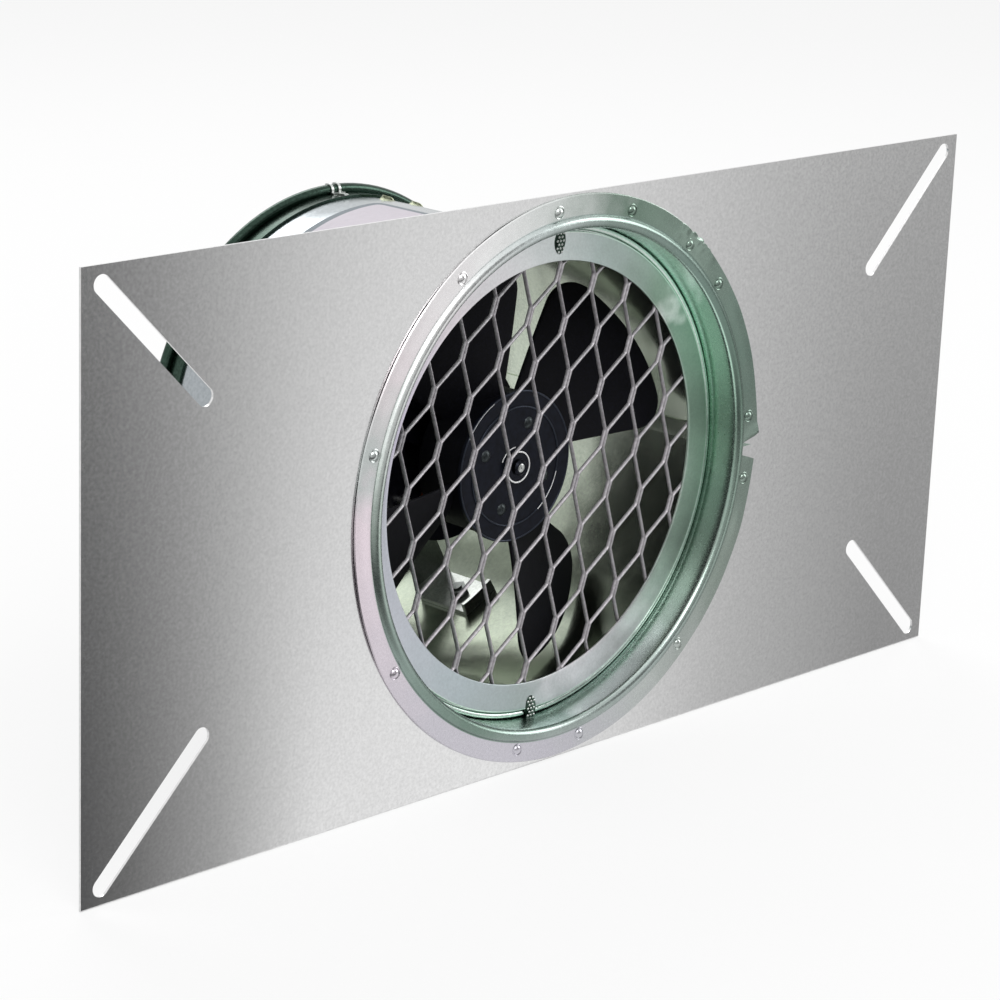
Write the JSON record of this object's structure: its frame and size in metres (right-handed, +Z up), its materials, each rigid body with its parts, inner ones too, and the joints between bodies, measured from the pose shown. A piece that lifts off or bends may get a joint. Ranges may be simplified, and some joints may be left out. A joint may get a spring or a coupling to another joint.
{
  "type": "crawl space vent fan",
  "caption": "Axial vent fan in a round sheet-metal drum behind a wide wall plate with slanted mounting slots, with expanded-metal guards at both ends.",
  "frame": {"origin": "on the fan's axis, in the plane of the wall plate's back face, which lies against the wall", "axes": "+Y along the fan's axis, away from someone in front and into the wall; +Z up; +X to the right of someone in front"},
  "size_m": [0.463, 0.1388, 0.222],
  "materials": {
    "galvanised_plate": "fine-grained galvanised sheet, satin",
    "galvanised_collar": "spun galvanised sheet, satin with soft highlights",
    "galvanised_drum": "galvanised sheet with a cool green-grey reflection",
    "expanded_metal": "galvanised expanded metal",
    "bracket_steel": "dark zinc-plated strap",
    "black_paint": "semi-gloss black enamel",
    "black_plastic": "moulded black plastic, satin",
    "electrical_steel": "laminated, dull",
    "copper_winding": "enamelled copper wire",
    "bronze": "oil-filled sintered bronze",
    "shaft_steel": "bright ground steel",
    "fasteners": "bright zinc plate"
  },
  "bodies": {
    "housing": {"mounting_plate": "galvanised_plate", "collar": "galvanised_collar", "flange_rivets": "fasteners", "guard_ring": "galvanised_collar", "front_guard": "expanded_metal", "housing_drum": "galvanised_drum", "rear_rim": "galvanised_drum", "rear_guard": "expanded_metal", "motor_bracket": "bracket_steel", "bracket_bolts": "fasteners", "bracket_nuts": "fasteners", "motor_shell": "black_paint", "motor_front_bell": "black_paint", "motor_rear_bell": "black_paint", "stator_core": "electrical_steel", "stator_coils": "copper_winding", "front_bearing": "bronze", "rear_bearing": "bronze", "through_bolts": "fasteners", "through_bolt_nuts": "fasteners"},
    "rotor": {"rotor_core": "electrical_steel", "motor_shaft": "shaft_steel", "thrust_collars": "shaft_steel", "fan_blades": "black_plastic", "hub_plate": "black_paint", "hub_rivets": "fasteners", "hub_bushing": "shaft_steel", "set_screw": "fasteners", "shaft_clip": "shaft_steel"}
  },
  "joints": [
    {"name": "fan_spin", "type": "hinge", "parent": "housing", "child": "rotor", "pos_m": [0, 0.06, 0], "axis": [0, 1, 0], "continuous": true}
  ]
}
